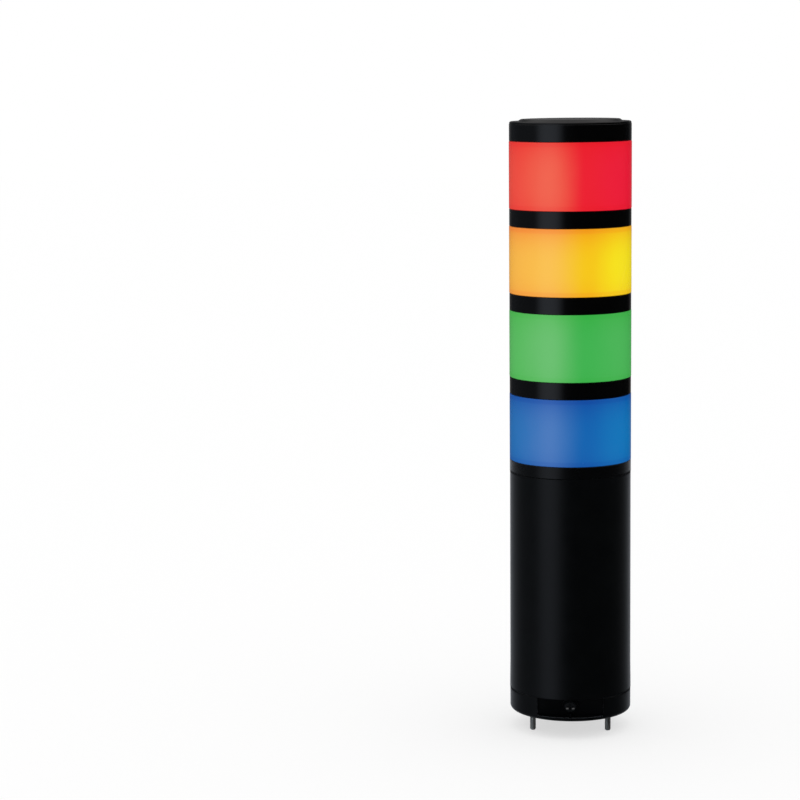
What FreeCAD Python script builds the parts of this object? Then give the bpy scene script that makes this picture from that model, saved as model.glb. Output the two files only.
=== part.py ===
"""Stack light: four twist-lock light units on a round body, for direct mounting by three studs.

Frame: +Z up along the light's axis, origin at the centre of the mounting face, front towards -Y.
All sizes are millimetres and degrees.
"""
import FreeCAD, Part
import os
import re

import Sketcher
from FreeCAD import Placement, Rotation, Vector

# Driving dimensions: alias, value, meaning.
SIZES = [
    ("housing_radius", "30.0", "outer radius of the lenses and the collar"),
    ("ring_inset", "0.1", "how much smaller the rings are in radius than the lenses"),
    ("edge_break", "0.25", "small bevel on the outer edges of moulded pieces"),
    ("fit_gap", "0.1", "radial gap between plugged pieces that do not move"),
    ("turn_clearance", "0.3", "gap round the lugs and skirts that turn"),
    # Twist lock between units
    ("socket_wall", "2.8", "wall of a socket, outside its bore"),
    ("skirt_depth", "5.0", "how far a unit's skirt plugs into the socket below"),
    ("skirt_wall", "1.8", "wall of the skirt"),
    ("lug_reach", "1.4", "how far a lug stands out of the skirt"),
    ("lug_thick", "2.0", "height of a lug"),
    ("lug_lift", "0.3", "height of a lug above the skirt's lower edge"),
    ("lug_angle", "24.0", "arc that one lug covers"),
    ("twist_angle", "20.0", "turn from locked to free"),
    ("slot_play", "0.8", "angular gap at each end of a lug"),
    ("seal_thick", "0.8", "thickness of a unit's flat seal"),
    ("seal_width", "1.2", "width of a unit's flat seal"),
    ("web_thick", "2.0", "floor of a socket"),
    # Light unit
    ("lens_height", "32.8", "height of the coloured band"),
    ("lens_wall", "2.0", "wall of the lens"),
    ("edge_band", "2.5", "lens floor, and depth of the ring's spigot in the lens"),
    ("spigot_wall", "1.8", "wall of the ring's spigot"),
    ("diffuser_gap", "0.8", "gap between lens and diffuser tube"),
    ("diffuser_wall", "1.0", "wall of the diffuser tube"),
    ("diffuser_flange", "1.0", "thickness of the diffuser's end flanges"),
    ("carrier_thick", "1.5", "thickness of the unit floor"),
    ("carrier_boss", "17.0", "radius of the boss that holds the contacts"),
    ("boss_recess", "1.0", "how far the boss stays inside the skirt"),
    ("contact_board_thick", "1.2", "thickness of a contact board"),
    ("contact_board_radius", "17.5", "radius of a contact board"),
    ("contact_inset", "5.0", "distance of the innermost contact from the axis"),
    ("contact_pitch", "2.5", "spacing of the contacts"),
    ("contact_width", "2.0", "width of a contact blade"),
    ("contact_thick", "0.8", "thickness of a contact blade"),
    ("contact_tail", "1.0", "solder tail above the unit floor"),
    ("contact_gap", "0.05", "gap between blade tip and contact board"),
    ("board_thick", "1.6", "thickness of the upright boards"),
    ("board_margin", "4.2", "gap between an upright board's edge and the diffuser"),
    ("tab_width", "14.0", "width of a board's end tabs"),
    ("tab_depth", "3.0", "how far a board's lower tab sits in the unit floor"),
    ("led_width", "3.5", "width of an LED package"),
    ("led_height", "2.8", "height of an LED package"),
    ("led_depth", "1.9", "depth of an LED package"),
    ("led_pitch", "8.5", "spacing of the LED rows"),
    ("led_offset", "11.0", "distance of the LED columns from the axis"),
    # Head cap
    ("cap_inset", "0.2", "how much smaller the head cap is in radius than the lenses"),
    ("cap_rim", "1.1", "thickness of the head cap at its rim"),
    ("cap_round", "0.9", "rounding of the head cap's upper edge"),
    ("disc_rise", "1.0", "height of the raised disc on the head cap"),
    ("disc_margin", "4.0", "distance of the raised disc from the cap's edge"),
    ("disc_slope", "1.6", "width of the raised disc's sloped edge"),
    # Body
    ("tube_height", "109.8", "height of the body tube"),
    ("tube_wall", "2.5", "wall of the body tube at its top"),
    ("tube_draft", "0.15", "growth in radius of the tube from its top to its flare"),
    ("lip_flare", "0.15", "growth in radius of the tube over its flare"),
    ("lip_height", "2.5", "height of the straight lip at the tube's lower end"),
    ("flare_height", "14.0", "height at which the flare starts"),
    ("collar_floor", "0.7", "collar height below the bottom of its socket"),
    ("collar_spigot", "8.0", "how far the collar plugs into the tube"),
    ("rail_thick", "1.5", "thickness of the guide rails for the control board"),
    ("rail_grip", "1.5", "how far the rails overlap the control board"),
    ("rail_play", "0.2", "gap between rails and control board"),
    ("control_length", "80.0", "length of the control board"),
    ("control_margin", "4.9", "gap between the control board's edge and the tube"),
    ("terminal_depth", "11.0", "depth of the terminal block"),
    ("terminal_height", "10.0", "height of the terminal block"),
    ("terminal_pitch", "5.0", "spacing of the terminals"),
    ("terminal_lift", "2.0", "height of the terminal block above the board's lower edge"),
    ("entry_size", "3.2", "side of a square wire entry or screw well"),
    ("entry_depth", "7.0", "depth of a wire entry"),
    ("well_depth", "2.5", "depth of a screw well"),
    ("terminal_screw_radius", "1.5", "radius of a terminal screw"),
    ("terminal_screw_length", "2.0", "length of a terminal screw's head"),
    ("capacitor_radius", "5.0", "radius of a capacitor"),
    ("capacitor_length", "14.0", "length of a capacitor"),
    ("capacitor_spacing", "15.0", "distance between the capacitors"),
    ("capacitor_drop", "34.0", "distance of the capacitors below the board's upper edge"),
    ("chip_width", "5.0", "width of a driver chip"),
    ("chip_length", "4.0", "height of a driver chip"),
    ("chip_thick", "1.6", "thickness of a driver chip"),
    ("chip_pitch", "9.0", "spacing of the driver chips"),
    ("chip_drop", "16.0", "distance of the driver chips below the board's upper edge"),
    # Mounting base
    ("base_height", "11.0", "height of the mounting base below the tube"),
    ("base_flare", "0.1", "how much larger the base is in radius than the lenses"),
    ("base_round", "2.0", "rounding of the base's lower edge"),
    ("base_floor", "3.0", "floor of the base"),
    ("base_spigot", "6.0", "how far the base plugs into the tube"),
    ("base_spigot_wall", "2.4", "wall of the base's spigot"),
    ("base_seal_width", "1.2", "width of the seal's groove"),
    ("base_seal_height", "1.6", "height of the seal's groove"),
    ("base_seal_lift", "2.2", "height of the seal's groove above the tube's lower edge"),
    ("cable_radius", "10.0", "radius of the cable entry"),
    ("recess_angle", "65.4", "arc that the front recess covers"),
    ("recess_depth", "6.1", "depth of the front recess at its middle"),
    ("recess_sill", "2.0", "height of the recess above the mounting face"),
    ("recess_wall", "2.5", "wall behind the recess"),
    ("rib_width", "1.2", "width of the rib in the recess"),
    ("rib_reach", "4.6", "how far the rib stands out in the recess"),
    ("screw_drop", "4.0", "distance of the lock screw below the tube's lower edge"),
    ("screw_boss_radius", "3.75", "radius of the boss round the lock screw"),
    ("screw_boss_reach", "1.5", "how far that boss stands out in the recess"),
    ("screw_radius", "1.5", "radius of the lock screw's shank"),
    ("screw_length", "7.0", "length of the lock screw's shank"),
    ("screw_head_radius", "2.75", "radius of the lock screw's head"),
    ("screw_head_height", "1.9", "height of the lock screw's head"),
    ("screw_head_bevel", "0.6", "bevel of the lock screw's head"),
    ("cross_length", "3.4", "length of the cross recess's arms"),
    ("cross_width", "0.8", "width of the cross recess's arms"),
    ("cross_depth", "1.0", "depth of the cross recess"),
    ("head_clearance", "0.5", "gap between the lock screw's head and the rib"),
    ("tongue_width", "9.0", "width of the tube's tongue behind the recess"),
    ("tongue_thick", "4.5", "thickness of that tongue"),
    ("tongue_root", "6.7", "height of the root that joins the tongue to the tube"),
    ("tongue_lift", "0.5", "gap between the tongue and the base's floor"),
    ("stud_inset", "8.5", "distance of the studs from the housing's outer radius"),
    ("stud_radius", "1.5", "radius of a mounting stud"),
    ("stud_reach", "9.0", "how far the studs stand out of the mounting face"),
    ("stud_tip", "0.5", "bevel of a stud's tip"),
    ("stud_collar_radius", "1.8", "radius of a stud's pressed-in collar inside the base"),
    ("stud_head_radius", "2.75", "radius of a stud's pressed-in head"),
    ("stud_head_height", "1.2", "height of a stud's head"),
    ("stud_boss_radius", "4.2", "radius of the boss round a stud's head"),
    ("stud_boss_height", "1.5", "height of that boss above the floor"),
]

# Sizes that follow from the driving ones, in terms of the names above and of each other.
DERIVED = {
    "ring_radius": "housing_radius - ring_inset",
    "bore_radius": "ring_radius - socket_wall",
    "skirt_radius": "bore_radius - turn_clearance",
    "skirt_inner": "skirt_radius - skirt_wall",
    "lug_radius": "skirt_radius + lug_reach",
    "slot_radius": "lug_radius + turn_clearance",
    "lug_bottom": "lug_lift - skirt_depth",
    "lug_top": "lug_bottom + lug_thick",
    "slot_bottom": "lug_bottom - turn_clearance",
    "slot_top": "lug_top + turn_clearance",
    "seal_inner": "skirt_radius + fit_gap",
    "seal_radius": "seal_inner + seal_width",
    "seat_radius": "seal_radius + turn_clearance",
    "socket_depth": "skirt_depth + turn_clearance",
    "web_top": "socket_depth + contact_board_thick",
    "ring_height": "web_top + web_thick",
    "lens_inner": "housing_radius - lens_wall",
    "spigot_radius": "lens_inner - fit_gap",
    "spigot_inner": "spigot_radius - spigot_wall",
    "diffuser_radius": "lens_inner - diffuser_gap",
    "diffuser_inner": "diffuser_radius - diffuser_wall",
    "flange_radius": "lens_inner - fit_gap",
    "floor_top": "edge_band + carrier_thick",
    "board_half": "diffuser_inner - board_margin",
    "slot_half": "board_thick / 2 + fit_gap",
    "collar_height": "socket_depth + collar_floor",
    "tube_radius": "housing_radius - ring_inset",
    "tube_inner": "tube_radius - tube_wall",
    "belly_radius": "tube_radius + tube_draft",
    "lip_radius": "belly_radius + lip_flare",
    "tube_spigot": "tube_inner - fit_gap",
    "base_radius": "housing_radius + base_flare",
    "base_inner": "tube_spigot - base_spigot_wall",
    "groove_radius": "tube_spigot - base_seal_width",
    "groove_bottom": "base_height + base_seal_lift",
    "groove_top": "groove_bottom + base_seal_height",
    "recess_half": "base_radius * sin(recess_angle / 2)",
    "recess_back": "base_radius - recess_depth",
    "tongue_front": "recess_back - recess_wall",
    "tongue_back": "tongue_front - tongue_thick",
    "control_half": "tube_inner - control_margin",
    "stud_circle": "housing_radius - stud_inset",
    "screw_level": "base_height - screw_drop",
    "screw_seat": "recess_back + screw_boss_reach",
    "collar_top": "base_height + tube_height + collar_height",
    "unit_pitch": "lens_height + ring_height",
    "collar_web": "collar_top - ring_height",
    "control_bottom": "collar_web - control_length",
}

UNITS = ["blue", "green", "amber", "red"]
LUG_COUNT = 3
STUD_COUNT = 3
BACK_ANGLE = 90
LED_ROWS = 3
CONTACT_COUNT = 5
TERMINAL_COUNT = 5
CHIP_COUNT = 4

doc = FreeCAD.newDocument("stack_light")
sheet = doc.addObject("Spreadsheet::Sheet", "Sizes")
ALIASES = [alias for alias, value, meaning in SIZES]
pieces = []


def fill_sheet():
    """Writes each driving dimension into its own cell."""
    for row, (alias, value, meaning) in enumerate(SIZES, 1):
        sheet.set(f"A{row}", meaning)
        sheet.set(f"B{row}", value)
        sheet.setAlias(f"B{row}", alias)
    doc.recompute()


def bound(text):
    """Turns a formula in plain names into an expression on the sheet's cells."""

    def spelled(match):
        word = match.group(0)
        if word in DERIVED:
            return f"({bound(DERIVED[word])})"
        return f"Sizes.{word}" if word in ALIASES else word

    return re.sub(r"[a-z_]+", spelled, str(text))


def origin_plane(body, role):
    """One of the body's own origin planes or axes."""
    return next(item for item in body.Origin.OriginFeatures if item.Role == role)


def new_body(label, level="0"):
    """A body that carries the sub-part's name and stands at a height."""
    body = doc.addObject("PartDesign::Body", label)
    body.Label = label
    body.setExpression("Placement.Base.z", bound(level))
    pieces.append(body)
    return body


def new_sketch(body, name, role, offset="0", turn="0"):
    """A sketch on one of the body's planes, moved along its normal or turned about its upright."""
    sketch = body.newObject("Sketcher::SketchObject", name)
    sketch.AttachmentSupport = [(origin_plane(body, role), "")]
    sketch.MapMode = "FlatFace"
    sketch.AttachmentOffset = Placement(Vector(), Rotation(Vector(0, 1, 0), 1))
    sketch.setExpression("AttachmentOffset.Rotation.Angle", bound(turn))
    sketch.setExpression("AttachmentOffset.Base.z", bound(offset))
    return sketch


def pin_point(sketch, edge, kind, across, formula):
    """Dimensions the start of an edge from the sketch's origin, along one axis."""
    if formula == "0":
        sketch.addConstraint(Sketcher.Constraint("PointOnObject", edge, 1, across))
        return
    index = sketch.addConstraint(Sketcher.Constraint(kind, -1, 1, edge, 1, float(edge + 1)))
    sketch.setExpression(f"Constraints[{index}]", bound(formula))


def add_outline(sketch, corners):
    """A closed outline of straight edges through corners given as pairs of formulas."""
    first = sketch.GeometryCount
    count = len(corners)
    seeds = [Vector(5 + k, k * k, 0) for k in range(count)]
    for k in range(count):
        sketch.addGeometry(Part.LineSegment(seeds[k], seeds[(k + 1) % count]), False)
    for k, (across, up) in enumerate(corners):
        sketch.addConstraint(Sketcher.Constraint("Coincident", first + k, 2, first + (k + 1) % count, 1))
        pin_point(sketch, first + k, "DistanceX", -2, across)
        pin_point(sketch, first + k, "DistanceY", -1, up)


def add_rectangle(sketch, left, right, low, high):
    """A rectangle between two pairs of formulas."""
    add_outline(sketch, [(left, low), (right, low), (right, high), (left, high)])


def add_circle(sketch, across, up, radius):
    """A circle whose centre and radius are formulas."""
    edge = sketch.addGeometry(Part.Circle(Vector(5, 5, 0), Vector(0, 0, 1), 1.0), False)
    for kind, axis, formula in (("DistanceX", -2, across), ("DistanceY", -1, up)):
        if formula == "0":
            sketch.addConstraint(Sketcher.Constraint("PointOnObject", edge, 3, axis))
            continue
        index = sketch.addConstraint(Sketcher.Constraint(kind, -1, 1, edge, 3, 5.0))
        sketch.setExpression(f"Constraints[{index}]", bound(formula))
    index = sketch.addConstraint(Sketcher.Constraint("Radius", edge, 1.0))
    sketch.setExpression(f"Constraints[{index}]", bound(radius))


def revolve(body, name, corners, kind="PartDesign::Revolution", arc="360", turn="0"):
    """A full or partial turn of an outline of (radius, height) corners about the body's Z axis."""
    sketch = new_sketch(body, f"{name}_outline", "XZ_Plane", turn=turn)
    add_outline(sketch, corners)
    feature = body.newObject(kind, name)
    feature.Profile = sketch
    feature.ReferenceAxis = (sketch, ["V_Axis"])
    feature.Midplane = True
    feature.setExpression("Angle", bound(arc))
    sketch.Visibility = False
    return feature


def extrude(body, name, sketch, length, kind="PartDesign::Pad", reverse=False, both=False):
    """A pad or pocket of a sketch; a length of None cuts through all."""
    feature = body.newObject(kind, name)
    feature.Profile = sketch
    if length is None:
        feature.Type = "ThroughAll"
    else:
        feature.setExpression("Length", bound(length))
    feature.Reversed = reverse
    feature.Midplane = both
    return feature


def repeat_around(body, name, features, count):
    """Repeats features evenly about the body's Z axis."""
    pattern = body.newObject("PartDesign::PolarPattern", name)
    pattern.Originals = features
    pattern.Axis = (origin_plane(body, "Z_Axis"), [""])
    pattern.Angle = 360
    pattern.Occurrences = count
    body.Tip = pattern
    return pattern


def round_edge(body, name, radius, height_of):
    """Rounds the outermost circular edge at the height that height_of picks from the shape's box."""
    doc.recompute()
    whole = body.Tip
    shape = whole.Shape
    height = height_of(shape)
    rims = [
        (edge.Curve.Radius, f"Edge{number}")
        for number, edge in enumerate(shape.Edges, 1)
        if isinstance(edge.Curve, Part.Circle) and abs(edge.BoundBox.ZMin - height) < 1e-6
        and abs(edge.BoundBox.ZMax - height) < 1e-6
    ]
    fillet = body.newObject("PartDesign::Fillet", name)
    fillet.Base = (whole, [max(rims)[1]])
    fillet.setExpression("Radius", bound(radius))
    return fillet


def primitive(kind, name, sizes, x="0", y="0", z="0"):
    """A Part primitive whose sizes and place are bound to formulas."""
    item = doc.addObject(f"Part::{kind}", name)
    for key, formula in sizes.items():
        item.setExpression(key, bound(formula))
    for axis, formula in (("x", x), ("y", y), ("z", z)):
        item.setExpression(f"Placement.Base.{axis}", bound(formula))
    return item


def block(name, width, depth, height, x, y, z):
    """A box centred at x and y that stands on z."""
    sizes = {"Length": width, "Width": depth, "Height": height}
    return primitive("Box", name, sizes, f"{x} - ({width}) / 2", f"{y} - ({depth}) / 2", z)


def group(label, items, level="0"):
    """Separate like pieces that share one sub-part."""
    compound = doc.addObject("Part::Compound", label)
    compound.Label = label
    compound.Links = items
    compound.setExpression("Placement.Base.z", bound(level))
    pieces.append(compound)
    return compound


# ---- twist lock -------------------------------------------------------------------------------


def socket_corners():
    """Inner outline of a socket, from its mouth at height 0 down to the floor on the axis."""
    return [
        ("seat_radius", "0"),
        ("seat_radius", "-seal_thick"),
        ("bore_radius", "-seal_thick"),
        ("bore_radius", "-socket_depth"),
        ("skirt_inner", "-socket_depth"),
        ("skirt_inner", "-web_top"),
        ("0", "-web_top"),
    ]


def cut_lug_slots(body):
    """Cuts the L-shaped slots: an upright entry, and a run that the lug turns into."""
    entry = revolve(
        body,
        f"{body.Label}_slot_entry",
        [("bore_radius - 1", "slot_bottom"), ("slot_radius", "slot_bottom"),
         ("slot_radius", "1"), ("bore_radius - 1", "1")],
        "PartDesign::Groove",
        arc="lug_angle + 2 * slot_play",
        turn="twist_angle",
    )
    run = revolve(
        body,
        f"{body.Label}_slot_run",
        [("bore_radius - 1", "slot_bottom"), ("slot_radius", "slot_bottom"),
         ("slot_radius", "slot_top"), ("bore_radius - 1", "slot_top")],
        "PartDesign::Groove",
        arc="lug_angle + twist_angle + 2 * slot_play",
        turn="twist_angle / 2",
    )
    repeat_around(body, f"{body.Label}_slots", [entry, run], LUG_COUNT)


def cut_tab_slot(body):
    """Cuts the slot through a socket's floor that the board's upper tab passes."""
    sketch = new_sketch(body, f"{body.Label}_tab_outline", "XY_Plane")
    add_rectangle(sketch, "-tab_width / 2 - fit_gap", "tab_width / 2 + fit_gap", "-slot_half", "slot_half")
    extrude(body, f"{body.Label}_tab_slot", sketch, None, "PartDesign::Pocket", both=True)


def add_lugs(body):
    """Adds the lugs round the lower end of a skirt."""
    lug = revolve(
        body,
        f"{body.Label}_lug",
        [("skirt_inner + skirt_wall / 2", "lug_bottom"), ("lug_radius", "lug_bottom"),
         ("lug_radius", "lug_top"), ("skirt_inner + skirt_wall / 2", "lug_top")],
        arc="lug_angle",
    )
    repeat_around(body, f"{body.Label}_lugs", [lug], LUG_COUNT)


def make_seal(label, level):
    """Flat seal round the root of a skirt."""
    body = new_body(label, level)
    revolve(
        body,
        f"{label}_band",
        [("seal_inner", "-seal_thick"), ("seal_radius", "-seal_thick"), ("seal_radius", "0"), ("seal_inner", "0")],
    )


def make_contact_board(label, level):
    """Round board on a socket's floor that the contact blades above press on."""
    board = primitive(
        "Cylinder", label, {"Radius": "contact_board_radius", "Height": "contact_board_thick"}, z=f"{level} - web_top"
    )
    board.Label = label
    pieces.append(board)


# ---- light unit -------------------------------------------------------------------------------


def make_lens(label, level):
    """Coloured lens: outer band, floor, and the skirt with its lugs."""
    body = new_body(label, level)
    revolve(
        body,
        f"{label}_shell",
        [
            ("skirt_inner", "-skirt_depth"),
            ("skirt_radius", "-skirt_depth"),
            ("skirt_radius", "0"),
            ("housing_radius - edge_break", "0"),
            ("housing_radius", "edge_break"),
            ("housing_radius", "lens_height - edge_break"),
            ("housing_radius - edge_break", "lens_height"),
            ("lens_inner", "lens_height"),
            ("lens_inner", "edge_band"),
            ("skirt_inner", "edge_band"),
        ],
    )
    add_lugs(body)


def make_ring(label, level):
    """Ring on top of a lens: spigot in the lens below, socket for the unit above."""
    body = new_body(label, level)
    revolve(
        body,
        f"{label}_shell",
        [
            ("0", "-ring_height"),
            ("spigot_inner", "-ring_height"),
            ("spigot_inner", "-ring_height - edge_band"),
            ("spigot_radius", "-ring_height - edge_band"),
            ("spigot_radius", "-ring_height"),
            ("ring_radius - edge_break", "-ring_height"),
            ("ring_radius", "-ring_height + edge_break"),
            ("ring_radius", "-edge_break"),
            ("ring_radius - edge_break", "0"),
            *socket_corners(),
        ],
    )
    cut_lug_slots(body)
    cut_tab_slot(body)


def make_diffuser(label, level):
    """Frosted tube with a flange at each end."""
    body = new_body(label, level)
    low, high = "floor_top", "lens_height - edge_band"
    revolve(
        body,
        f"{label}_tube",
        [
            ("diffuser_inner", low),
            ("flange_radius", low),
            ("flange_radius", f"{low} + diffuser_flange"),
            ("diffuser_radius", f"{low} + diffuser_flange"),
            ("diffuser_radius", f"{high} - diffuser_flange"),
            ("flange_radius", f"{high} - diffuser_flange"),
            ("flange_radius", high),
            ("diffuser_inner", high),
        ],
    )


def contact_centre(number):
    """Distance of a contact from the axis, towards the front."""
    return f"-contact_inset - {number} * contact_pitch"


def make_carrier(label, level):
    """Unit floor: disc on the lens floor, boss with the contacts, slot for the LED board."""
    body = new_body(label, level)
    revolve(
        body,
        f"{label}_disc",
        [
            ("0", "boss_recess - skirt_depth"),
            ("carrier_boss", "boss_recess - skirt_depth"),
            ("carrier_boss", "edge_band"),
            ("flange_radius", "edge_band"),
            ("flange_radius", "floor_top"),
            ("0", "floor_top"),
        ],
    )
    slot = new_sketch(body, f"{label}_slot_outline", "XY_Plane", offset="floor_top")
    add_rectangle(slot, "-tab_width / 2 - fit_gap", "tab_width / 2 + fit_gap", "-slot_half", "slot_half")
    extrude(body, f"{label}_slot", slot, "tab_depth", "PartDesign::Pocket")
    holes = new_sketch(body, f"{label}_hole_outline", "XY_Plane")
    for number in range(CONTACT_COUNT):
        centre = contact_centre(number)
        add_rectangle(
            holes, "-contact_width / 2", "contact_width / 2",
            f"{centre} - contact_thick / 2", f"{centre} + contact_thick / 2",
        )
    extrude(body, f"{label}_holes", holes, None, "PartDesign::Pocket", both=True)


def make_contacts(label, level):
    """Contact blades, from their solder tails down to the contact board below."""
    bottom = "contact_gap - socket_depth"
    blades = [
        block(
            f"{label}_{number + 1}", "contact_width", "contact_thick",
            f"floor_top + contact_tail - ({bottom})", "0", contact_centre(number), bottom,
        )
        for number in range(CONTACT_COUNT)
    ]
    group(label, blades, level)


def upright_board(label, level, half, low, high, low_tab=None):
    """Upright board with a tab at its top, and one at its bottom where low_tab gives its end."""
    body = new_body(label, level)
    sketch = new_sketch(body, f"{label}_outline", "XZ_Plane")
    tab = "tab_width / 2"
    foot = [(f"-{tab}", low), (f"-{tab}", low_tab), (tab, low_tab), (tab, low)] if low_tab else []
    corners = [
        (f"-({half})", low),
        *foot,
        (half, low),
        (half, high),
        (tab, high),
        (tab, f"{high} + web_thick"),
        (f"-{tab}", f"{high} + web_thick"),
        (f"-{tab}", high),
        (f"-({half})", high),
    ]
    add_outline(sketch, corners)
    extrude(body, f"{label}_sheet", sketch, "board_thick", both=True)


def make_leds(label, level):
    """LED packages on both faces of the board."""
    middle = "(floor_top + lens_height) / 2"
    packages = []
    for side, face in ((-1, "front"), (1, "back")):
        for column in (-1, 1):
            for row in range(LED_ROWS):
                packages.append(
                    block(
                        f"{label}_{face}_{len(packages) + 1}", "led_width", "led_depth", "led_height",
                        f"{column} * led_offset", f"{side} * (board_thick + led_depth) / 2",
                        f"{middle} - led_height / 2 + {row - (LED_ROWS - 1) / 2} * led_pitch",
                    )
                )
    group(label, packages, level)


def make_unit(colour, number):
    """One light unit; its level is the mouth of the socket that it stands in."""
    level = f"collar_top + {number} * unit_pitch"
    next_level = f"{level} + unit_pitch"
    make_lens(f"{colour}_lens", level)
    make_seal(f"{colour}_seal", level)
    make_carrier(f"{colour}_carrier", level)
    make_contacts(f"{colour}_contacts", level)
    upright_board(
        f"{colour}_led_board", level, "board_half", "floor_top", "lens_height", low_tab="floor_top - tab_depth"
    )
    make_leds(f"{colour}_leds", level)
    make_diffuser(f"{colour}_diffuser", level)
    make_ring(f"{colour}_ring", next_level)
    make_contact_board(f"{colour}_contact_board", next_level)


# ---- head cap ---------------------------------------------------------------------------------


def make_head_cap(level):
    """Cap with a raised disc, plugged into the topmost ring like a unit."""
    body = new_body("head_cap", level)
    edge = "housing_radius - cap_inset"
    revolve(
        body,
        "head_cap_shell",
        [
            ("0", "0"),
            ("skirt_inner", "0"),
            ("skirt_inner", "-skirt_depth"),
            ("skirt_radius", "-skirt_depth"),
            ("skirt_radius", "0"),
            (edge, "0"),
            (edge, "cap_rim"),
            (f"{edge} - disc_margin", "cap_rim"),
            (f"{edge} - disc_margin - disc_slope", "cap_rim + disc_rise"),
            ("0", "cap_rim + disc_rise"),
        ],
    )
    round_edge(body, "head_cap_edge", "cap_round", cap_rim_height)
    add_lugs(body)
    make_seal("cap_seal", level)


def cap_rim_height(shape):
    """Height of the cap's outermost upper edge."""
    return shape.BoundBox.ZMax - sheet.disc_rise


# ---- body -------------------------------------------------------------------------------------


def make_collar(level):
    """Collar: socket for the lowest unit, spigot in the tube."""
    body = new_body("collar", level)
    spigot_end = "-collar_height - collar_spigot"
    revolve(
        body,
        "collar_shell",
        [
            ("0", "-ring_height"),
            ("tube_spigot - spigot_wall", "-ring_height"),
            ("tube_spigot - spigot_wall", spigot_end),
            ("tube_spigot", spigot_end),
            ("tube_spigot", "-collar_height"),
            ("housing_radius - edge_break", "-collar_height"),
            ("housing_radius", "-collar_height + edge_break"),
            ("housing_radius", "-edge_break"),
            ("housing_radius - edge_break", "0"),
            *socket_corners(),
        ],
    )
    cut_lug_slots(body)
    cut_tab_slot(body)
    make_contact_board("body_contact_board", level)


def make_tube():
    """Body tube with draft, flared lip, guide rails, and the tongue that the lock screw holds."""
    body = new_body("body_tube", "base_height")
    revolve(
        body,
        "body_tube_shell",
        [
            ("tube_inner", "0"),
            ("lip_radius - edge_break", "0"),
            ("lip_radius", "edge_break"),
            ("lip_radius", "lip_height"),
            ("belly_radius", "flare_height"),
            ("tube_radius", "tube_height - edge_break"),
            ("tube_radius - edge_break", "tube_height"),
            ("tube_inner", "tube_height"),
        ],
    )
    rails = new_sketch(body, "body_tube_rail_outline", "XY_Plane", offset="base_spigot + 1")
    inner, outer = "control_half - rail_grip", "tube_inner + tube_wall / 4"
    near, far = "board_thick / 2 + rail_play", "board_thick / 2 + rail_play + rail_thick"
    add_rectangle(rails, inner, outer, near, far)
    add_rectangle(rails, inner, outer, f"-({far})", f"-({near})")
    add_rectangle(rails, f"-({outer})", f"-({inner})", near, far)
    add_rectangle(rails, f"-({outer})", f"-({inner})", f"-({far})", f"-({near})")
    extrude(body, "body_tube_rails", rails, "tube_height - collar_spigot - base_spigot - 2")
    tongue = new_sketch(body, "body_tube_tongue_outline", "YZ_Plane")
    root = "base_spigot + turn_clearance"
    add_outline(
        tongue,
        [
            ("-tube_inner - tube_wall / 4", root),
            ("-tube_inner - tube_wall / 4", f"{root} + tongue_root"),
            ("-tongue_back", f"{root} + tongue_root"),
            ("-tongue_back", "base_floor + tongue_lift - base_height"),
            ("-tongue_front", "base_floor + tongue_lift - base_height"),
            ("-tongue_front", root),
        ],
    )
    extrude(body, "body_tube_tongue", tongue, "tongue_width", both=True)
    hole = new_sketch(body, "body_tube_screw_outline", "XZ_Plane")
    add_circle(hole, "0", "-screw_drop", "screw_radius")
    extrude(body, "body_tube_screw_hole", hole, None, "PartDesign::Pocket", both=True)


def make_control_board():
    """Control board in the rails, with the pieces that it carries on its front."""
    upright_board("control_board", "0", "control_half", "control_bottom", "collar_web")
    face = "-board_thick / 2"
    make_terminal_block(face)
    cans = []
    for side in (-1, 1):
        can = primitive(
            "Cylinder", f"capacitors_{len(cans) + 1}", {"Radius": "capacitor_radius", "Height": "capacitor_length"},
            f"{side} * capacitor_spacing / 2", face, "collar_web - capacitor_drop",
        )
        can.Placement.Rotation = Rotation(Vector(1, 0, 0), 90)
        cans.append(can)
    group("capacitors", cans)
    chips = [
        block(
            f"driver_chips_{number + 1}", "chip_width", "chip_thick", "chip_length",
            f"{number - (CHIP_COUNT - 1) / 2} * chip_pitch", f"{face} - chip_thick / 2", "collar_web - chip_drop",
        )
        for number in range(CHIP_COUNT)
    ]
    group("driver_chips", chips)


def make_terminal_block(face):
    """Terminal block with a square wire entry and a screw well for each terminal."""
    floor = "control_bottom + terminal_lift"
    front = f"{face} - terminal_depth"
    body = block(
        "terminal_block_body", f"{TERMINAL_COUNT} * terminal_pitch", "terminal_depth", "terminal_height",
        "0", f"{face} - terminal_depth / 2", floor,
    )
    openings = []
    screws = []
    for number in range(TERMINAL_COUNT):
        x = f"{number - (TERMINAL_COUNT - 1) / 2} * terminal_pitch"
        openings.append(
            block(
                f"terminal_entry_{number + 1}", "entry_size", "entry_size", "entry_depth",
                x, f"{front} + terminal_depth * 0.65", f"{floor} - entry_depth / 4",
            )
        )
        openings.append(
            block(
                f"terminal_well_{number + 1}", "entry_size", "well_depth * 2", "entry_size",
                x, front, f"{floor} + (terminal_height - entry_size) / 2",
            )
        )
        screw = primitive(
            "Cylinder", f"terminal_screws_{number + 1}",
            {"Radius": "terminal_screw_radius", "Height": "terminal_screw_length"},
            x, f"{front} + well_depth", f"{floor} + terminal_height / 2",
        )
        screw.Placement.Rotation = Rotation(Vector(1, 0, 0), 90)
        screws.append(screw)
    tools = doc.addObject("Part::MultiFuse", "terminal_block_openings")
    tools.Shapes = openings
    cut = doc.addObject("Part::Cut", "terminal_block")
    cut.Label = "terminal_block"
    cut.Base = body
    cut.Tool = tools
    pieces.append(cut)
    group("terminal_screws", screws)


# ---- mounting base ----------------------------------------------------------------------------


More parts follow.
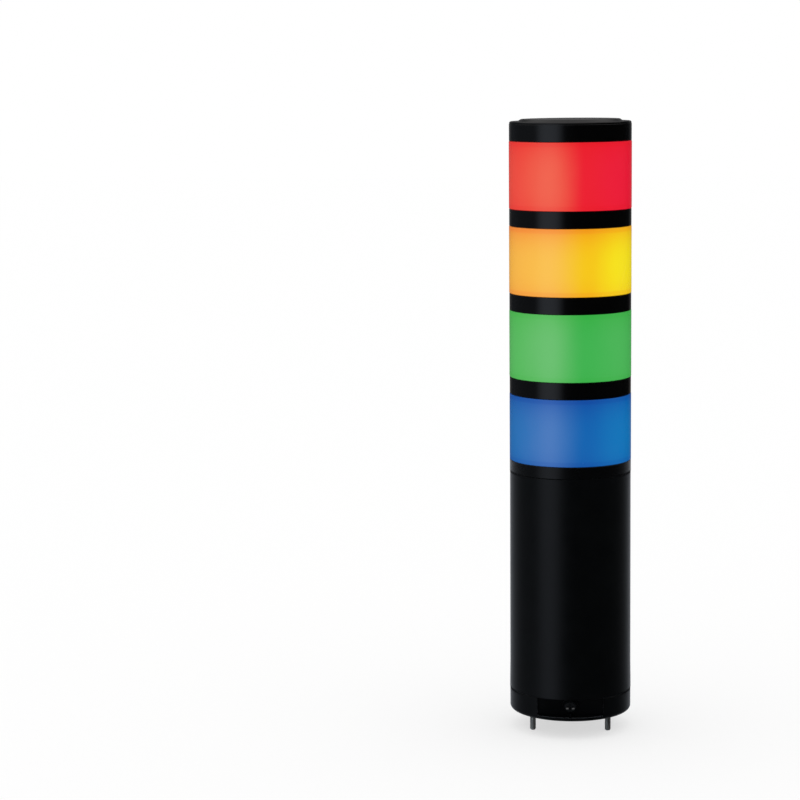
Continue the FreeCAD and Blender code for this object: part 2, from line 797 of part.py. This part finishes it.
def make_base():
    """Mounting base: shell with spigot, front recess for the lock screw, seats for the studs."""
    body = new_body("base")
    revolve(
        body,
        "base_shell",
        [
            ("cable_radius", "0"),
            ("base_radius", "0"),
            ("base_radius", "base_height - edge_break"),
            ("base_radius - edge_break", "base_height"),
            ("tube_spigot", "base_height"),
            ("tube_spigot", "groove_bottom"),
            ("groove_radius", "groove_bottom"),
            ("groove_radius", "groove_top"),
            ("tube_spigot", "groove_top"),
            ("tube_spigot", "base_height + base_spigot"),
            ("base_inner", "base_height + base_spigot"),
            ("base_inner", "base_floor"),
            ("cable_radius", "base_floor"),
        ],
    )
    round_edge(body, "base_edge", "base_round", lambda shape: shape.BoundBox.ZMin)
    cut_recess(body)
    seat_studs(body)
    seal = new_body("base_seal")
    revolve(
        seal,
        "base_seal_band",
        [
            ("groove_radius", "groove_bottom"),
            ("tube_inner - fit_gap / 2", "groove_bottom"),
            ("tube_inner - fit_gap / 2", "groove_top"),
            ("groove_radius", "groove_top"),
        ],
    )


def cut_recess(body):
    """Front recess: wall behind it, then the cut, the rib, and the boss for the lock screw."""
    wall = new_sketch(body, "recess_wall_outline", "XZ_Plane", offset="tongue_front")
    add_rectangle(wall, "-recess_half", "recess_half", "recess_sill", "base_height")
    extrude(body, "recess_back_wall", wall, "recess_wall")
    recess = new_sketch(body, "recess_outline", "XZ_Plane", offset="recess_back")
    add_rectangle(recess, "-recess_half", "recess_half", "recess_sill", "base_height")
    extrude(body, "recess", recess, "2 * recess_depth", "PartDesign::Pocket", reverse=True)
    rib = new_sketch(body, "recess_rib_outline", "XZ_Plane", offset="recess_back")
    add_rectangle(rib, "-rib_width / 2", "rib_width / 2", "recess_sill", "base_height")
    extrude(body, "recess_rib", rib, "rib_reach")
    gap = new_sketch(body, "recess_rib_gap_outline", "XZ_Plane", offset="recess_back")
    add_circle(gap, "0", "screw_level", "screw_head_radius + head_clearance")
    extrude(body, "recess_rib_gap", gap, "2 * recess_depth", "PartDesign::Pocket", reverse=True)
    boss = new_sketch(body, "screw_boss_outline", "XZ_Plane", offset="recess_back")
    add_circle(boss, "0", "screw_level", "screw_boss_radius")
    extrude(body, "screw_boss", boss, "screw_boss_reach")
    hole = new_sketch(body, "screw_hole_outline", "XZ_Plane", offset="screw_seat")
    add_circle(hole, "0", "screw_level", "screw_radius")
    extrude(body, "screw_hole", hole, "screw_boss_reach + recess_wall", "PartDesign::Pocket")


def seat_studs(body):
    """Bosses inside the base, with a hole and a counterbore for each stud."""
    centre = ("0", "stud_circle")
    boss = new_sketch(body, "stud_boss_outline", "XY_Plane", offset="base_floor")
    add_circle(boss, *centre, "stud_boss_radius")
    bosses = [extrude(body, "stud_boss", boss, "stud_boss_height")]
    repeat_around(body, "stud_bosses", bosses, STUD_COUNT)
    seat = new_sketch(body, "stud_seat_outline", "XY_Plane", offset="base_floor + stud_boss_height")
    add_circle(seat, *centre, "stud_head_radius")
    hole = new_sketch(body, "stud_hole_outline", "XY_Plane", offset="base_floor + stud_boss_height")
    add_circle(hole, *centre, "stud_collar_radius")
    cuts = [
        extrude(body, "stud_seat", seat, "stud_head_height", "PartDesign::Pocket"),
        extrude(body, "stud_hole", hole, "stud_boss_height + base_floor + 1", "PartDesign::Pocket"),
    ]
    repeat_around(body, "stud_seats", cuts, STUD_COUNT)


def make_studs():
    """Three mounting studs, pressed into the base from inside."""
    studs = []
    head_bottom = "base_floor + stud_boss_height - stud_head_height"
    for number in range(STUD_COUNT):
        angle = BACK_ANGLE + number * 360 / STUD_COUNT
        x, y = f"stud_circle * cos({angle})", f"stud_circle * sin({angle})"
        name = f"mounting_studs_{number + 1}"
        shank = primitive(
            "Cylinder", f"{name}_shank",
            {"Radius": "stud_radius", "Height": "stud_reach - stud_tip"}, x, y, "stud_tip - stud_reach",
        )
        tip = primitive(
            "Cone", f"{name}_tip",
            {"Radius1": "stud_radius - stud_tip", "Radius2": "stud_radius", "Height": "stud_tip"}, x, y, "-stud_reach",
        )
        collar = primitive(
            "Cylinder", f"{name}_collar", {"Radius": "stud_collar_radius", "Height": head_bottom}, x, y, "0",
        )
        head = primitive(
            "Cylinder", f"{name}_head", {"Radius": "stud_head_radius", "Height": "stud_head_height"}, x, y, head_bottom,
        )
        stud = doc.addObject("Part::MultiFuse", name)
        stud.Shapes = [shank, tip, collar, head]
        studs.append(stud)
    group("mounting_studs", studs)


def make_lock_screw():
    """Pan-head screw with a cross recess, through the base into the tube's tongue."""
    body = new_body("lock_screw", "screw_level")
    body.setExpression("Placement.Base.y", bound("-screw_seat"))
    body.Placement.Rotation = Rotation(Vector(1, 0, 0), 90)
    revolve(
        body,
        "lock_screw_shape",
        [
            ("0", "-screw_length"),
            ("screw_radius", "-screw_length"),
            ("screw_radius", "0"),
            ("screw_head_radius", "0"),
            ("screw_head_radius", "screw_head_height - screw_head_bevel"),
            ("screw_head_radius - screw_head_bevel", "screw_head_height"),
            ("0", "screw_head_height"),
        ],
    )
    arm, half = "cross_length / 2", "cross_width / 2"
    quarter = [(arm, half), (half, half), (half, arm)]
    cross = new_sketch(body, "lock_screw_cross_outline", "XY_Plane", offset="screw_head_height")
    add_outline(
        cross,
        [
            *quarter,
            *[(f"-{x}", y) for x, y in reversed(quarter)],
            *[(f"-{x}", f"-{y}") for x, y in quarter],
            *[(x, f"-{y}") for x, y in reversed(quarter)],
        ],
    )
    extrude(body, "lock_screw_cross", cross, "cross_depth", "PartDesign::Pocket")


# ---- build and write --------------------------------------------------------------------------


def check_and_write():
    """Stops at anything that failed to build, then writes each sub-part."""
    doc.recompute()
    for item in doc.Objects:
        if "Invalid" in item.State or "Error" in item.State:
            raise RuntimeError(f"{item.Label} did not build: {item.State}")
    for piece in pieces:
        if piece.Shape.isNull() or not piece.Shape.isValid():
            raise RuntimeError(f"{piece.Label} has no valid shape")
    os.makedirs("parts", exist_ok=True)
    for piece in pieces:
        piece.Shape.exportStep(f"parts/{piece.Label}.step")
        print(f"{piece.Label}: {len(piece.Shape.Solids)} solid, {piece.Shape.Volume:.1f} mm3")


fill_sheet()
make_base()
make_studs()
make_lock_screw()
make_tube()
make_collar("collar_top")
make_control_board()
for place, colour_name in enumerate(UNITS):
    make_unit(colour_name, place)
make_head_cap(f"collar_top + {len(UNITS)} * unit_pitch")
check_and_write()
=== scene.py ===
import math

import bpy
from mathutils import Matrix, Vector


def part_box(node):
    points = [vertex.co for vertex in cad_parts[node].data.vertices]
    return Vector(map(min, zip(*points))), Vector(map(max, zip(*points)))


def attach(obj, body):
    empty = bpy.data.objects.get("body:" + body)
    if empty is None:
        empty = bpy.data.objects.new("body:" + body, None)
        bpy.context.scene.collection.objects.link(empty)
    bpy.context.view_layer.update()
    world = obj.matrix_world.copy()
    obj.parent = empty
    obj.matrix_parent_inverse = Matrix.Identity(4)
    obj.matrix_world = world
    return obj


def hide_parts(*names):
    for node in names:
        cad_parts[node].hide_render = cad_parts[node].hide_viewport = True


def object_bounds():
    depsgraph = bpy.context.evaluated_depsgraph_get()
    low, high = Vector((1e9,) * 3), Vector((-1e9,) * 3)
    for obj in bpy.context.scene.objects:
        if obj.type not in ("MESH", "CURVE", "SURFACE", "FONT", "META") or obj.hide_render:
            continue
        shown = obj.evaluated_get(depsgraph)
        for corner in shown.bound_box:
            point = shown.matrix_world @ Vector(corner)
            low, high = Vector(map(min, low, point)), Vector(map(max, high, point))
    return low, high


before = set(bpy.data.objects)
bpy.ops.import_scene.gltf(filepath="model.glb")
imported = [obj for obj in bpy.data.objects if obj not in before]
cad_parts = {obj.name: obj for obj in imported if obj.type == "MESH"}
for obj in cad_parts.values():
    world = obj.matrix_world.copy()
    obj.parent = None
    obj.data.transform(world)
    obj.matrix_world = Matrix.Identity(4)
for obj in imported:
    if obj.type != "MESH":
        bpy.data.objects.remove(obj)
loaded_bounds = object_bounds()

MM = 0.001

# Places that the finishes follow, from the CAD pieces. RIM_BAND is where a lens's deeper rims fade out.
BASE_SPIGOT = 6.0 * MM
LENS_SKIRT = 5.0 * MM
RIM_BAND = (1.9 * MM, 2.6 * MM)
SKIN_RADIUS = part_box("collar")[1][0]
SEAMS = (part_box("base")[1][2] - BASE_SPIGOT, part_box("body_tube")[1][2])

# Stud thread, M3.
STUD_RADIUS = 1.5 * MM
STUD_COLLAR_RADIUS = 1.8 * MM
STUD_HEAD_HEIGHT = 1.2 * MM
STUD_TIP_RADIUS = 1.0 * MM
STUD_LEAD_IN = 0.5 * MM
THREAD_START = 0.3 * MM
THREAD_PITCH = 0.5 * MM
THREAD_DEPTH = 0.27 * MM
THREAD_LENGTH = 8.5 * MM
ROWS_A_TURN = 8
SIDES = 40
STUD_COUNT = 3
BACK_ANGLE = 90.0

# Camera that matches the photograph, aimed without lens shift.
CAMERA_PLACE = (0.0, -1.2, 0.321)
CAMERA_YAW = 4.026
CAMERA_PITCH = -7.821
CAMERA_ROLL = -0.554
CAMERA_LENS = 109.87
SENSOR_WIDTH = 36.0
FLOOR_HALF = 6.0


# ---------------------------------------------------------------- node helpers


class Tree:
    """Small wrapper that adds nodes to a material or a world and links them."""

    def __init__(self, owner):
        owner.use_nodes = True
        self.tree = owner.node_tree

    def node(self, kind, inputs=None, **settings):
        made = self.tree.nodes.new(kind)
        for key, value in settings.items():
            setattr(made, key, value)
        for key, value in (inputs or {}).items():
            self.feed(made.inputs[key], value)
        return made

    def feed(self, socket, value):
        if isinstance(value, bpy.types.NodeSocket):
            self.tree.links.new(value, socket)
        else:
            socket.default_value = value

    def math(self, operation, a, b=0.0, clamp=False):
        made = self.node("ShaderNodeMath", {0: a, 1: b}, operation=operation, use_clamp=clamp)
        return made.outputs[0]

    def spread(self, value, low, high, to_low=0.0, to_high=1.0, smooth=False):
        """Maps a value from the range low to high onto the range to_low to to_high, and holds it there."""
        inputs = {"Value": value, "From Min": low, "From Max": high, "To Min": to_low, "To Max": to_high}
        kind = "SMOOTHSTEP" if smooth else "LINEAR"
        return self.node("ShaderNodeMapRange", inputs, interpolation_type=kind).outputs[0]

    def blend(self, factor, a, b, mode="MIX"):
        made = self.node("ShaderNodeMix", data_type="RGBA", blend_type=mode)
        self.feed(made.inputs[0], factor)
        self.feed(made.inputs[6], a)
        self.feed(made.inputs[7], b)
        return made.outputs[2]

    def ramp(self, value, stops):
        """Colour ramp from (place, colour) pairs, both in the value's own range 0 to 1."""
        made = self.node("ShaderNodeValToRGB", {0: value})
        band = made.color_ramp
        band.interpolation = "EASE"
        while len(band.elements) < len(stops):
            band.elements.new(0.5)
        for element, (place, colour) in zip(band.elements, stops):
            element.position = place
            element.color = colour
        return made.outputs["Color"]

    def place(self):
        """Object coordinates in metres."""
        return self.node("ShaderNodeTexCoord").outputs["Object"]

    def axes(self):
        return self.node("ShaderNodeSeparateXYZ", {0: self.place()}).outputs

    def noise(self, scale, detail=3.0, roughness=0.5, stretch=None):
        place = self.place()
        if stretch:
            place = self.node("ShaderNodeMapping", {"Vector": place, "Scale": stretch}).outputs[0]
        inputs = {"Vector": place, "Scale": scale, "Detail": detail, "Roughness": roughness}
        return self.node("ShaderNodeTexNoise", inputs).outputs[0]

    def bump(self, height, depth):
        inputs = {"Height": height, "Distance": depth, "Strength": 1.0}
        return self.node("ShaderNodeBump", inputs).outputs[0]


def new_material(name):
    """A material, its node helper, and a function that feeds its shader by input name."""
    material = bpy.data.materials.new(name)
    tree = Tree(material)
    shader = tree.tree.nodes["Principled BSDF"]

    def surface(**values):
        for key, value in values.items():
            tree.feed(shader.inputs[key.replace("_", " ")], value)

    return material, tree, surface


def rgb(red, green, blue):
    return (red, green, blue, 1.0)


# ---------------------------------------------------------------- materials


def black_plastic(name, dark, light, gloss, spread, grain, ior=1.46, sheen=0.0):
    """Moulded black plastic: fine grain, slightly uneven gloss, soft sheen on the outer skin, kept off the
    inner surfaces and dimmed at the seams as painted shade.
    """
    material, tree, surface = new_material(name)
    cloud = tree.noise(70.0, 4.0, 0.6)
    fine = tree.noise(2600.0, 2.0, 0.5)
    tone = tree.blend(tree.spread(cloud, 0.3, 0.7), dark, light)
    rough = tree.spread(cloud, 0.3, 0.7, gloss, gloss + spread)
    surface(Base_Color=tone, Roughness=rough, IOR=ior, Normal=tree.bump(fine, grain))
    if sheen:
        x, y, z = tree.axes()
        flat = tree.node("ShaderNodeCombineXYZ", {0: x, 1: y}).outputs[0]
        radius = tree.node("ShaderNodeVectorMath", {0: flat}, operation="LENGTH").outputs["Value"]
        # Painted shade: no sheen on surfaces inside the skin, such as the recess.
        sheen_with_painted_shade = tree.spread(radius, SKIN_RADIUS - 0.9 * MM, SKIN_RADIUS - 0.4 * MM, 0.0, sheen)
        # Painted shade: the sheen dims to a tenth at each seam, where the groove is in shade.
        for seam in SEAMS:
            apart = tree.math("ABSOLUTE", tree.math("SUBTRACT", z, seam))
            clear = tree.spread(apart, 0.3 * MM, 1.0 * MM, 0.1, 1.0, smooth=True)
            sheen_with_painted_shade = tree.math("MULTIPLY", sheen_with_painted_shade, clear)
        grazing = tree.node("ShaderNodeLayerWeight", {"Blend": 0.5}).outputs["Facing"]
        sheen_with_painted_shade = tree.math("MULTIPLY", sheen_with_painted_shade, tree.spread(grazing, 0.15, 0.7, smooth=True))
        surface(Sheen_Weight=sheen_with_painted_shade, Sheen_Roughness=0.3, Sheen_Tint=rgb(0.84, 0.9, 1.0))
    return material


def lens_plastic(name, node, painted_light_tones, deepen):
    """Milky lens with painted light: its colour across the width runs from the light side through a painted
    highlight to a far side painted brighter where light shines through, with a painted glow in the middle of
    its height that deepens towards both rims, a faint painted glow of its own, and a faint grain.
    """
    low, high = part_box(node)
    foot, crown = low[2] + LENS_SKIRT, high[2]
    height = crown - foot
    material, tree, surface = new_material(name)
    x, _, z = tree.axes()
    cloud = tree.noise(45.0, 3.0, 0.5, stretch=(1.0, 1.0, 0.6))
    wander = tree.spread(cloud, 0.3, 0.7, -1.5 * MM, 1.5 * MM)
    across = tree.spread(tree.math("ADD", x, wander), low[0], high[0])
    # Painted light across the width: a painted highlight near the light side, and the far side tinted as if
    # lit through.
    body = tree.ramp(across, list(zip(LENS_PAINTED_LIGHT_PLACES, painted_light_tones)))
    # Painted glow: lightest a little below the middle of the height, deepening towards both ends.
    middle = foot + height * 0.42
    away = tree.math("ABSOLUTE", tree.math("SUBTRACT", z, middle))
    painted_glow_falloff = tree.math("POWER", tree.math("DIVIDE", away, height * 0.55), 2.5, clamp=True)
    body = tree.blend(painted_glow_falloff, body, deepen, "MULTIPLY")
    lower = tree.spread(z, foot + RIM_BAND[0], foot + RIM_BAND[1], 1.0, 0.0, smooth=True)
    upper = tree.spread(z, crown - RIM_BAND[1], crown - RIM_BAND[0], 0.0, 1.0, smooth=True)
    rims = tree.math("MULTIPLY", tree.math("MAXIMUM", lower, upper), 0.3)
    colour = tree.blend(rims, body, deepen, "MULTIPLY")
    surface(
        Base_Color=colour,
        Roughness=tree.spread(cloud, 0.3, 0.7, 0.22, 0.28),
        IOR=1.58,
        # Painted glow: the lens gives off a little of its own colour, though it is no lamp.
        Specular_IOR_Level=LENS_GLOSS,
        Emission_Color=colour,
        Emission_Strength=0.12,
        Normal=tree.bump(tree.noise(1800.0, 2.0, 0.5), 0.004 * MM),
    )
    return material


def plain_plastic(name, dark, light, rough, scale=300.0, grain=0.01):
    """Small moulded parts: soft tone change and a faint grain."""
    material, tree, surface = new_material(name)
    cloud = tree.noise(scale, 3.0)
    surface(
        Base_Color=tree.blend(tree.spread(cloud, 0.3, 0.7), dark, light),
        Roughness=tree.spread(cloud, 0.3, 0.7, rough - 0.04, rough + 0.06),
        Normal=tree.bump(tree.noise(2500.0), grain * MM),
    )
    return material


def metal(name, dark, light, rough, stretch):
    """Plated or turned metal: fine lines along the stretched axis."""
    material, tree, surface = new_material(name)
    lines = tree.noise(900.0, 4.0, 0.6, stretch=stretch)
    surface(
        Base_Color=tree.blend(tree.spread(lines, 0.3, 0.7), dark, light),
        Metallic=1.0,
        Roughness=tree.spread(lines, 0.3, 0.7, rough - 0.06, rough + 0.08),
        Normal=tree.bump(lines, 0.01 * MM),
    )
    return material


def screw_finish(name, node):
    """Blackened screw with painted glints: the flat bar of its driver cross is painted lighter grey on either
    side of the middle.
    """
    low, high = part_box(node)
    level = (low[2] + high[2]) / 2 - 0.8 * MM
    material, tree, surface = new_material(name)
    x, _, z = tree.axes()
    # Painted glints: two light grey marks on the cross's flat bar, one on either side of the middle.
    across = tree.math("ABSOLUTE", x)
    beside = tree.math("ABSOLUTE", tree.math("SUBTRACT", z, level))
    flat = tree.spread(beside, 0.25 * MM, 0.45 * MM, 1.0, 0.0)
    past_middle = tree.spread(across, 0.7 * MM, 1.1 * MM)
    short_of_rim = tree.spread(across, 1.9 * MM, 2.2 * MM, 1.0, 0.0)
    painted_glint = tree.math("MULTIPLY", flat, tree.math("MULTIPLY", past_middle, short_of_rim))
    cloud = tree.noise(1500.0, 3.0)
    painted_glint = tree.math("MULTIPLY", painted_glint, tree.spread(cloud, 0.2, 0.6, 0.6, 1.0))
    surface(
        Base_Color=tree.blend(painted_glint, rgb(0.004, 0.005, 0.006), rgb(0.10, 0.10, 0.10)),
        Roughness=tree.spread(painted_glint, 0.0, 1.0, 0.4, 0.25),
        IOR=1.4,
        Specular_IOR_Level=0.25,
        Normal=tree.bump(cloud, 0.01 * MM),
    )
    return material


def board(name):
    """Green solder mask with copper lines that show through it."""
    material, tree, surface = new_material(name)
    bricks = tree.node(
        "ShaderNodeTexBrick",
        {
            "Vector": tree.place(),
            "Scale": 260.0,
            "Mortar Size": 0.06,
            "Brick Width": 0.9,
            "Row Height": 0.35,
        },
    )
    lines = bricks.outputs["Fac"]
    surface(
        Base_Color=tree.blend(lines, rgb(0.012, 0.11, 0.04), rgb(0.03, 0.22, 0.07)),
        Roughness=0.35,
        Normal=tree.bump(lines, 0.03 * MM),
    )
    return material


def led_resin(name):
    """LED body in a yellow chip tone that varies with noise, under a clear coat."""
    material, tree, surface = new_material(name)
    cloud = tree.noise(600.0)
    surface(
        Base_Color=tree.blend(cloud, rgb(0.9, 0.85, 0.5), rgb(0.75, 0.66, 0.2)),
        Roughness=0.12,
        Coat_Weight=0.6,
        Coat_Roughness=0.05,
    )
    return material


housing = black_plastic(
    "housing_black", rgb(0.0001, 0.0005, 0.0009), rgb(0.0002, 0.0008, 0.0013),
    gloss=0.28, spread=0.06, grain=0.02 * MM, ior=1.35, sheen=0.34,
)
collar = black_plastic(
    "collar_black", rgb(0.0001, 0.0003, 0.0005), rgb(0.0002, 0.0005, 0.0008),
    gloss=0.24, spread=0.05, grain=0.01 * MM, ior=1.4, sheen=0.46,
)
rings = black_plastic(
    "ring_black", rgb(0.0001, 0.0002, 0.0003), rgb(0.0002, 0.0003, 0.0004),
    gloss=0.17, spread=0.03, grain=0.003 * MM,
)
cap = black_plastic(
    "cap_black", rgb(0.0001, 0.0003, 0.0004), rgb(0.0002, 0.0004, 0.0006),
    gloss=0.19, spread=0.03, grain=0.004 * MM,
)

# Each lens: its tones at the places below across its width, then what deepens them towards the rims. The
# tones are painted light: the light side, a painted highlight, the core, and the far side painted brighter
# where light shines through.
LENS_PAINTED_LIGHT_PLACES = (0.03, 0.33, 0.63, 0.90)
LENS_GLOSS = 0.2
LENS = {
    "red": (
        (
            rgb(0.80, 0.062, 0.040), rgb(0.80, 0.105, 0.060),
            rgb(0.78, 0.006, 0.022), rgb(0.78, 0.004, 0.030),
        ),
        rgb(0.98, 0.55, 0.65),
    ),
    "amber": (
        (
            rgb(0.87, 0.430, 0.050), rgb(0.87, 0.480, 0.065),
            rgb(0.85, 0.520, 0.001), rgb(0.86, 0.700, 0.001),
        ),
        rgb(0.98, 0.64, 0.68),
    ),
    "green": (
        (
            rgb(0.090, 0.460, 0.105), rgb(0.125, 0.475, 0.140),
            rgb(0.044, 0.420, 0.072), rgb(0.062, 0.430, 0.088),
        ),
        rgb(0.75, 0.96, 0.74),
    ),
    "blue": (
        (
            rgb(0.012, 0.145, 0.430), rgb(0.055, 0.170, 0.460),
            rgb(0.0005, 0.115, 0.405), rgb(0.0002, 0.160, 0.450),
        ),
        rgb(0.4, 0.62, 0.86),
    ),
}

UPRIGHT_LINES = (1.0, 1.0, 0.1)
LINES_FRONT_TO_BACK = (1.0, 0.1, 1.0)

white = plain_plastic("diffuser_white", rgb(0.78, 0.78, 0.76), rgb(0.88, 0.88, 0.86), 0.5)
rubber = plain_plastic("seal_rubber", rgb(0.012, 0.012, 0.012), rgb(0.03, 0.03, 0.03), 0.75, 500.0, 0.03)
terminal = plain_plastic("terminal_green", rgb(0.03, 0.24, 0.09), rgb(0.05, 0.33, 0.13), 0.45)
chip = plain_plastic("chip_black", rgb(0.012, 0.012, 0.013), rgb(0.03, 0.03, 0.03), 0.55, 800.0, 0.02)
steel = metal("zinc_steel", rgb(0.50, 0.52, 0.50), rgb(0.70, 0.71, 0.70), 0.36, UPRIGHT_LINES)
brass = metal("plated_brass", rgb(0.66, 0.48, 0.2), rgb(0.8, 0.62, 0.3), 0.28, UPRIGHT_LINES)
can = metal("capacitor_can", rgb(0.42, 0.43, 0.46), rgb(0.56, 0.57, 0.6), 0.35, LINES_FRONT_TO_BACK)
circuit = board("solder_mask")
screw_steel = screw_finish("blackened_steel", "lock_screw")
led = led_resin("led_resin")


UNIT_FINISHES = {
    "ring": rings,
    "diffuser": white,
    "carrier": white,
    "contacts": brass,
    "seal": rubber,
    "leds": led,
    "led_board": circuit,
    "contact_board": circuit,
}
BODY_FINISHES = {
    "head_cap": cap,
    "collar": collar,
    "cap_seal": rubber,
    "base_seal": rubber,
    "mounting_studs": steel,
    "lock_screw": screw_steel,
    "control_board": circuit,
    "body_contact_board": circuit,
    "terminal_block": terminal,
    "terminal_screws": steel,
    "capacitors": can,
    "driver_chips": chip,
}


def finish_for(node):
    """A light unit's pieces are named colour_kind. What isn't listed is part of the housing."""
    colour, _, kind = node.partition("_")
    if colour in LENS:
        if kind == "lens":
            return lens_plastic(node + "_plastic", node, *LENS[colour])
        return UNIT_FINISHES[kind]
    return BODY_FINISHES.get(node, housing)


for name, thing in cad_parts.items():
    thing.data.materials.clear()
    thing.data.materials.append(finish_for(name))


# ---------------------------------------------------------------- stud threads


def thread_rows(tip, top, head_radius):
    """Heights and radii up a stud, from its tip to the head inside the base. The flag marks threaded rows."""
    rows = [(tip, STUD_TIP_RADIUS, False)]
    for step in range(round(THREAD_LENGTH / THREAD_PITCH * ROWS_A_TURN) + 1):
        rows.append((tip + THREAD_START + step * THREAD_PITCH / ROWS_A_TURN, STUD_RADIUS, True))
    neck = top - STUD_HEAD_HEIGHT
    rows += [(0.0, STUD_RADIUS, False), (0.0, STUD_COLLAR_RADIUS, False), (neck, STUD_COLLAR_RADIUS, False)]
    rows += [(neck, head_radius, False), (top, head_radius, False)]
    return rows


def thread_radius(height, turn, tip):
    """Radius of the thread at a height and at a share of a turn, narrower towards the tip."""
    wave = abs(((height / THREAD_PITCH - turn) % 1.0) * 2.0 - 1.0)
    groove = THREAD_DEPTH * min(1.0, max(0.0, wave * 1.3 - 0.1))
    lead_in = min(1.0, (height - tip) / STUD_LEAD_IN)
    return (STUD_RADIUS - groove) * (0.7 + 0.3 * lead_in)


def make_stud_threads():
    """The three studs with their real M3 thread, in place of the plain ones."""
    low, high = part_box("mounting_studs")
    circle = 2 * (low[1] + high[1])
    tip, top, head_radius = low[2], high[2], high[1] - circle
    rows = thread_rows(tip, top, head_radius)
    points = []
    faces = []
    for number in range(STUD_COUNT):
        angle = math.radians(BACK_ANGLE + 360.0 / STUD_COUNT * number)
        centre_x, centre_y = circle * math.cos(angle), circle * math.sin(angle)
        first = len(points)
        for height, radius, threaded in rows:
            for step in range(SIDES):
                turn = step / SIDES
                reach = thread_radius(height, turn, tip) if threaded else radius
                bearing = turn * 2 * math.pi
                across, along = reach * math.cos(bearing), reach * math.sin(bearing)
                points.append((centre_x + across, centre_y + along, height))
        for row in range(len(rows) - 1):
            ring = first + row * SIDES
            for step in range(SIDES):
                after = (step + 1) % SIDES
                faces.append((ring + step, ring + after, ring + SIDES + after, ring + SIDES + step))
        faces.append(tuple(reversed(range(first, first + SIDES))))
        faces.append(tuple(range(len(points) - SIDES, len(points))))
    mesh = bpy.data.meshes.new("stud_threads")
    mesh.from_pydata(points, [], faces)
    mesh.update()
    mesh.materials.append(steel)
    studs = bpy.data.objects.new("stud_threads", mesh)
    bpy.context.scene.collection.objects.link(studs)
    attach(studs, "body")
    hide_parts("mounting_studs")


make_stud_threads()


# ---------------------------------------------------------------- floor and light


def make_floor(level):
    """White sheet under the studs. It takes the contact shadow and isn't reflected."""
    corners = [(-1, -1), (1, -1), (1, 1), (-1, 1)]
    mesh = bpy.data.meshes.new("floor")
    mesh.from_pydata([(x * FLOOR_HALF, y * FLOOR_HALF, level) for x, y in corners], [], [(0, 1, 2, 3)])
    floor = bpy.data.objects.new("floor", mesh)
    bpy.context.scene.collection.objects.link(floor)
    material = bpy.data.materials.new("floor_white")
    tree = Tree(material)
    nodes = tree.tree.nodes
    nodes.remove(nodes["Principled BSDF"])
    paper = tree.blend(tree.noise(300.0, 2.0), rgb(0.99, 0.99, 0.99), rgb(1, 1, 1))
    matt = tree.node("ShaderNodeBsdfDiffuse", {"Color": paper}).outputs[0]
    glow = tree.node("ShaderNodeEmission", {"Color": rgb(1, 1, 1), "Strength": 1.0}).outputs[0]
    soft = tree.node("ShaderNodeMixShader", {0: 0.6, 1: matt, 2: glow}).outputs[0]
    clear = tree.node("ShaderNodeBsdfTransparent").outputs[0]
    mirrored = tree.node("ShaderNodeLightPath").outputs["Is Glossy Ray"]
    chosen = tree.node("ShaderNodeMixShader", {0: mirrored, 1: soft, 2: clear}).outputs[0]
    tree.feed(nodes["Material Output"].inputs["Surface"], chosen)
    mesh.materials.append(material)


def make_world():
    """White all round for the eye and for matt surfaces. Gloss sees a dim studio with one tall soft box."""
    world = bpy.data.worlds.new("studio")
    bpy.context.scene.world = world
    tree = Tree(world)
    direction = tree.node("ShaderNodeTexCoord").outputs["Generated"]
    height = tree.node("ShaderNodeSeparateXYZ", {0: direction}).outputs[2]

    def facing(azimuth, *limits):
        """Smooth level by the cosine of the angle to an azimuth: 0 is the front, positive is to the right."""
        angle = math.radians(azimuth)
        inputs = {0: direction, 1: (math.sin(angle), -math.cos(angle), 0.0)}
        cosine = tree.node("ShaderNodeVectorMath", inputs, operation="DOT_PRODUCT").outputs["Value"]
        return tree.spread(cosine, *limits, smooth=True)

    walls = facing(60.0, -0.1, 0.75, 0.12, 0.002)
    walls = tree.math("MULTIPLY", walls, tree.spread(height, -0.08, 0.02, 0.2, 1.0, smooth=True))
    walls = tree.math("MULTIPLY", walls, facing(0.0, -0.5, 0.2, 0.25, 1.0))
    soft_box = facing(-40.0, 0.86, 1.0, 0.0, 0.55)
    left_fill = facing(-85.0, 0.1, 0.9, 0.0, 0.06)
    back_fill = facing(180.0, 0.8, 1.0, 0.0, 0.13)
    ceiling = tree.spread(height, 0.35, 0.8, 0.0, 0.6, smooth=True)
    cool = tree.math("ADD", tree.math("ADD", walls, soft_box), left_fill)
    warm = tree.math("ADD", ceiling, back_fill)
    channels = [
        tree.math("ADD", tree.math("MULTIPLY", cool, cool_share), tree.math("MULTIPLY", warm, warm_share))
        for cool_share, warm_share in ((0.91, 1.0), (0.99, 0.97), (1.14, 0.96))
    ]
    studio = tree.node("ShaderNodeCombineXYZ", dict(enumerate(channels))).outputs[0]
    path = tree.node("ShaderNodeLightPath").outputs
    seen_white = tree.math("MAXIMUM", path["Is Camera Ray"], path["Is Diffuse Ray"])
    background = tree.tree.nodes["Background"]
    tree.feed(background.inputs["Color"], tree.blend(seen_white, studio, rgb(1, 1, 1)))
    background.inputs["Strength"].default_value = 1.0
    world.cycles.sampling_method = "NONE"


def make_camera():
    """Camera 1.2 m in front of the light, a little above its top."""
    data = bpy.data.cameras.new("camera")
    data.sensor_width = SENSOR_WIDTH
    data.lens = CAMERA_LENS
    data.clip_start = 0.01
    data.clip_end = 50.0
    camera = bpy.data.objects.new("camera", data)
    bpy.context.scene.collection.objects.link(camera)
    turn = Matrix.Rotation(math.radians(CAMERA_YAW), 4, "Z")
    tilt = Matrix.Rotation(math.radians(90.0 + CAMERA_PITCH), 4, "X")
    roll = Matrix.Rotation(math.radians(CAMERA_ROLL), 4, "Z")
    camera.matrix_world = Matrix.Translation(CAMERA_PLACE) @ turn @ tilt @ roll
    bpy.context.scene.camera = camera


make_floor(loaded_bounds[0][2])
make_world()
make_camera()

scene = bpy.context.scene
scene.view_settings.view_transform = "Standard"
